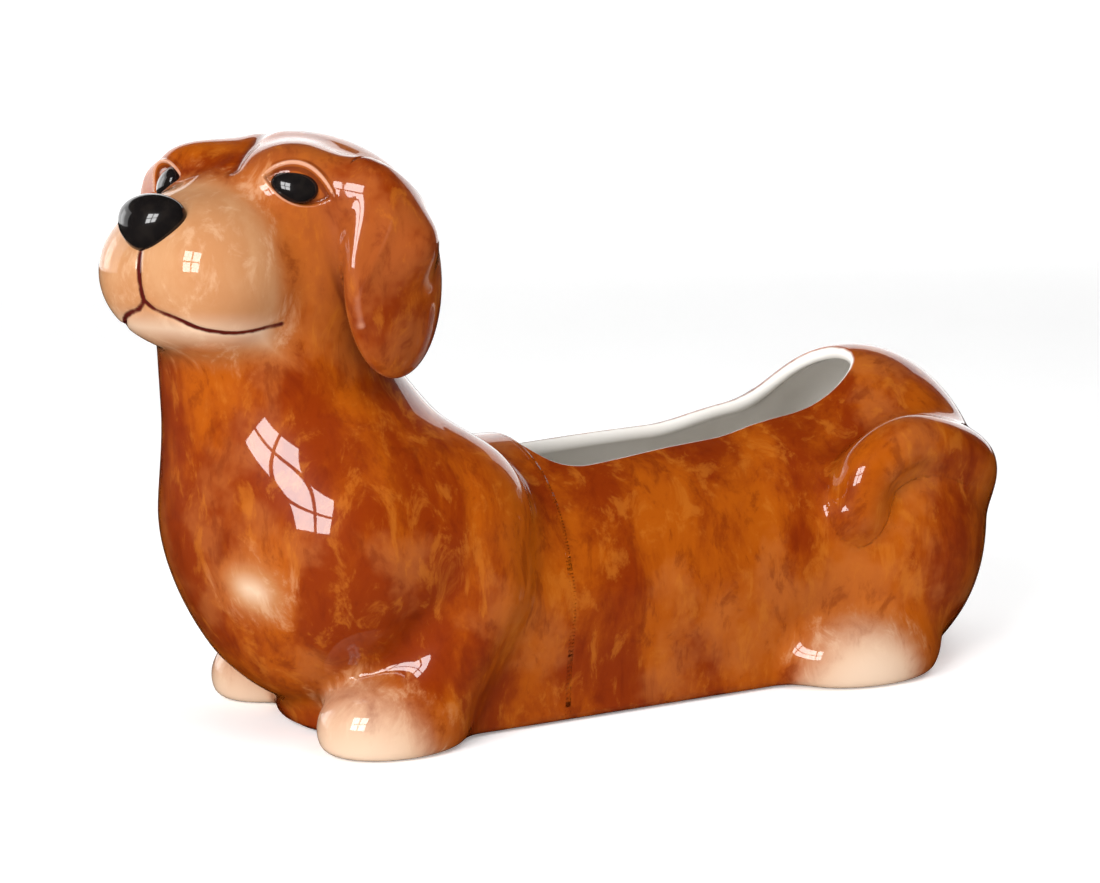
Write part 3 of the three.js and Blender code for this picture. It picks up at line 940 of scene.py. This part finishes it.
class Graph:
    """A material's node tree, cleared but for its output."""

    def __init__(self, name):
        self.material = bpy.data.materials.new(name)
        self.material.use_nodes = True
        self.tree = self.material.node_tree
        self.tree.nodes.clear()

    def node(self, kind, settings=None, inputs=None, output=0):
        made = self.tree.nodes.new(kind)
        for key, value in (settings or {}).items():
            setattr(made, key, value)
        for key, value in (inputs or {}).items():
            if isinstance(value, Wire):
                self.tree.links.new(value.socket, made.inputs[key])
            else:
                made.inputs[key].default_value = value
        return Wire(self, made.outputs[output]) if len(made.outputs) else None

    def place(self):
        return self.node("ShaderNodeTexCoord", output="Object")

    def mark(self, name):
        return self.node("ShaderNodeAttribute", {"attribute_name": name}, output="Fac")

    def noise(self, place, scale, detail=3.0, **inputs):
        inputs = {"Vector": place, "Scale": scale, "Detail": detail, **inputs}
        return self.node("ShaderNodeTexNoise", None, inputs)

    def mix(self, share, a, b):
        """Colour a where the share is 0 and colour b where it is 1."""
        made = {"Factor": share, 6: a, 7: b}
        return self.node("ShaderNodeMix", {"data_type": "RGBA"}, made, output=2)

    def glaze(self, colour, roughness, **inputs):
        """A fired glaze: colour under a clear, almost perfectly smooth coat."""
        inputs = {
            "Base Color": colour, "Roughness": roughness, "Specular IOR Level": 0.05,
            "Coat Weight": 1.0, "Coat Roughness": 0.03, "Coat IOR": 1.42, **inputs,
        }
        shader = self.node("ShaderNodeBsdfPrincipled", None, inputs)
        self.node("ShaderNodeOutputMaterial", None, {"Surface": shader})
        return self.material


# %% [markdown]
# ## The two glazes
# The brown was brushed on in thin coats. Over sharp edges it is painted a lighter pink, partly where the
# glaze thins and partly as a painted highlight; in the hollows it is painted darker, partly where the
# glaze pools and partly as painted shade. Three noises of different sizes stand for the coats, the dabs
# and the washes, drawn out upwards like brush strokes. The tan, the mouth's line and the cream inside
# are laid over it at their distances, each edge frayed by the same dabs. A painted picture could be
# wrapped round it instead, but noise has no seams and holds up at any distance.

# %% Glaze colours


def brown_glaze():
    """Brown, then tan, the drawn line and the cream inside, each mixed over the last."""
    g = Graph("brown glaze")
    place = g.place()
    strokes = g.node("ShaderNodeMapping", None, {"Vector": place, "Scale": (1.0, 1.0, 0.5)})
    cloud = g.noise(strokes, 40.0, 8.0, Roughness=0.62, Distortion=0.3)
    dabs = g.noise(strokes, 140.0, 6.0, Roughness=0.68, Distortion=0.5)
    wash = g.noise(place, 22.0, 5.0, Roughness=0.6)
    fine = g.noise(place, 420.0, 3.0)
    brown = g.mix(cloud.ramp(0.40, 0.60), (0.19, 0.022, 0.001, 1), (0.33, 0.066, 0.002, 1))
    brown = g.mix(wash.ramp(0.52, 0.62) * 0.3, brown, (0.46, 0.15, 0.035, 1))
    brown = g.mix(dabs.ramp(0.52, 0.66) * 0.45, brown, (0.44, 0.13, 0.012, 1))
    brown = g.mix(dabs.ramp(0.48, 0.34) * 0.45, brown, (0.12, 0.010, 0.001, 1))
    # Painted highlight: convex edges turn a lighter pink, where the glaze also thins.
    brown = g.mix(g.mark("edge").ramp(0.09, 0.25) * 0.7, brown, (0.66, 0.36, 0.24, 1))
    # Painted shade: hollows turn darker, where the glaze also pools.
    brown = g.mix(g.mark("edge").ramp(-0.02, -0.12) * 0.6, brown, (0.08, 0.007, 0.002, 1))
    brushed = g.mark("tan") + (dabs - 0.5) * 12.0 + (fine - 0.5) * 2.0
    tan = g.mix(g.mark("tan").ramp(-1.0, 8.0), (0.36, 0.10, 0.020, 1), (0.46, 0.235, 0.11, 1))
    tan = g.mix(cloud.ramp(0.45, 0.62) * 0.5, tan, (0.36, 0.13, 0.040, 1))
    tan = g.mix(dabs.ramp(0.5, 0.66) * 0.4, tan, (0.60, 0.38, 0.23, 1))
    tan = g.mix(g.mark("pale").ramp(-1.0, 8.0), tan, (0.66, 0.49, 0.36, 1))
    colour = g.mix(brushed.ramp(-4.0, 4.0), brown, tan)
    drawn = (g.mark("line") + (fine - 0.5) * 0.4).ramp(0.95, 0.55)
    colour = g.mix(drawn, colour, (0.07, 0.006, 0.004, 1))
    cream = g.mix(g.noise(place, 60.0).ramp(0.4, 0.7) * 0.3, (0.90, 0.87, 0.82, 1), (0.82, 0.77, 0.70, 1))
    colour = g.mix((g.mark("inside") + (fine - 0.5) * 0.1).ramp(0.12, 0.3), colour, cream)
    ripple = {"Height": g.noise(place, 80.0, 2.0), "Strength": 0.05, "Distance": 0.002}
    return g.glaze(colour, 0.35, Normal=g.node("ShaderNodeBump", None, ripple))


def black_glaze():
    """Near black, with the faintest speck."""
    g = Graph("black glaze")
    speck = g.noise(g.place(), 400.0).ramp(0.4, 0.7)
    return g.glaze(g.mix(speck, (0.006, 0.005, 0.005, 1), (0.010, 0.008, 0.007, 1)), 0.25)


brown, black = brown_glaze(), black_glaze()
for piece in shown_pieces():
    piece.data.materials.clear()
    piece.data.materials.append(black if piece in buttons else brown)

# %% [markdown]
# ## Studio
# A white table with a white screen standing behind it, a window of four panes whose light shows in
# the glaze, and a weak soft light behind the dog for its far edge. The fill light and the table are
# kept out of the reflections, so that the brown stays deep. A picture of a room could light it all at
# once, but then no reflection could be moved by itself.

# %% Table and screen
TABLE_HALF, SCREEN_AWAY, SCREEN_HEIGHT, SCREEN_POSTS = 3, 2.8, 1.7, 60
corners = [(TABLE_HALF * x, TABLE_HALF * y, 0) for x, y in ((-1, -1), (1, -1), (1, 1), (-1, 1))]
table_mesh = bpy.data.meshes.new("table")
table_mesh.from_pydata(corners, [], [(0, 1, 2, 3)])
table = bpy.data.objects.new("table", table_mesh)
bpy.context.scene.collection.objects.link(table)
paper_white = (0.93, 0.93, 0.93, 1)
g = Graph("table")
paper = g.mix(g.noise(g.place(), 8.0).ramp(0.3, 0.7), paper_white, (0.95, 0.95, 0.95, 1))
shader = g.node("ShaderNodeBsdfPrincipled", None, {
    "Base Color": paper, "Roughness": 0.6, "Emission Color": paper_white, "Emission Strength": 0.25,
})
g.node("ShaderNodeOutputMaterial", None, {"Surface": shader})
table.data.materials.append(g.material)
table.visible_glossy = False

bearing = np.radians(np.linspace(112, 238, SCREEN_POSTS))
foot = SCREEN_AWAY * np.stack([np.sin(bearing), -np.cos(bearing), np.zeros(SCREEN_POSTS)], axis=1)
posts = np.concatenate([foot, foot + (0, 0, SCREEN_HEIGHT)])
screen_mesh = bpy.data.meshes.new("screen")
screen_mesh.from_pydata(posts.tolist(), [], grid_faces(2, SCREEN_POSTS).tolist())
screen = bpy.data.objects.new("screen", screen_mesh)
bpy.context.scene.collection.objects.link(screen)
g = Graph("screen")
shader = g.node("ShaderNodeBsdfPrincipled", None, {
    "Base Color": paper_white, "Roughness": 0.8, "Emission Color": (1, 1, 1, 1), "Emission Strength": 0.8,
})
g.node("ShaderNodeOutputMaterial", None, {"Surface": shader})
screen.data.materials.append(g.material)
print("screen", SCREEN_HEIGHT, "m high,", SCREEN_AWAY, "m away")

# %% Lights


def light(name, at, aim, size, power):
    """A rectangular area light at a place in metres, turned to face another place."""
    lamp = bpy.data.lights.new(name, "AREA")
    lamp.shape, lamp.size, lamp.size_y, lamp.energy = "RECTANGLE", size[0], size[1], power
    made = bpy.data.objects.new(name, lamp)
    made.location = at
    away = Vector(at) - Vector(aim)
    made.rotation_euler = away.to_track_quat("Z", "Y").to_euler()
    bpy.context.scene.collection.objects.link(made)
    return made


def out_to(azimuth, elevation):
    """Unit direction from the dog, turned by an azimuth from its left side and raised by an elevation."""
    flat = math.cos(elevation)
    return Vector((math.sin(azimuth) * flat, -math.cos(azimuth) * flat, math.sin(elevation)))


# A window of four panes, turned to face the dog, on the side that the dog looks to.
window_azimuth = math.radians(-58)
window_out = out_to(window_azimuth, math.radians(25))
window_side = Vector((math.cos(window_azimuth), math.sin(window_azimuth), 0))
window_up = window_out.cross(window_side)
for column in (-1, 1):
    for row in (-1, 1):
        at = 1.2 * window_out + 0.13 * column * window_side + 0.16 * row * window_up
        light(f"pane {column} {row}", at, at - window_out, (0.22, 0.28), 3.4)

fill = light("fill", (0.1, -0.7, 1.1), (0, 0, 0.05), (0.8, 0.8), 7.5)
fill.visible_glossy = False
light("rim", (-0.86, 1.23, 0.4), (0, 0, 0.08), (0.45, 0.6), 1.6)

world = bpy.data.worlds.new("studio")
bpy.context.scene.world = world
world.use_nodes = True
world.node_tree.nodes["Background"].inputs["Color"].default_value = (1, 1, 1, 1)
world.node_tree.nodes["Background"].inputs["Strength"].default_value = 0.35
world.cycles_visibility.glossy = False
print("lights", [lamp.name for lamp in bpy.data.lights])

# %% Camera
camera = bpy.data.cameras.new("camera")
camera.lens, camera.sensor_width = 74.98, 36
viewer = bpy.data.objects.new("camera", camera)
back = out_to(math.radians(-31.4), math.radians(8.3))
aim = Vector((chest_x * MM + 0.0603, 0, 0.0656))
viewer.location = aim + 0.6 * back
viewer.rotation_euler = back.to_track_quat("Z", "Y").to_euler()
bpy.context.scene.collection.objects.link(viewer)
bpy.context.scene.camera = viewer
bpy.context.scene.view_settings.view_transform = "Standard"
print("camera at", [round(value, 3) for value in viewer.location])
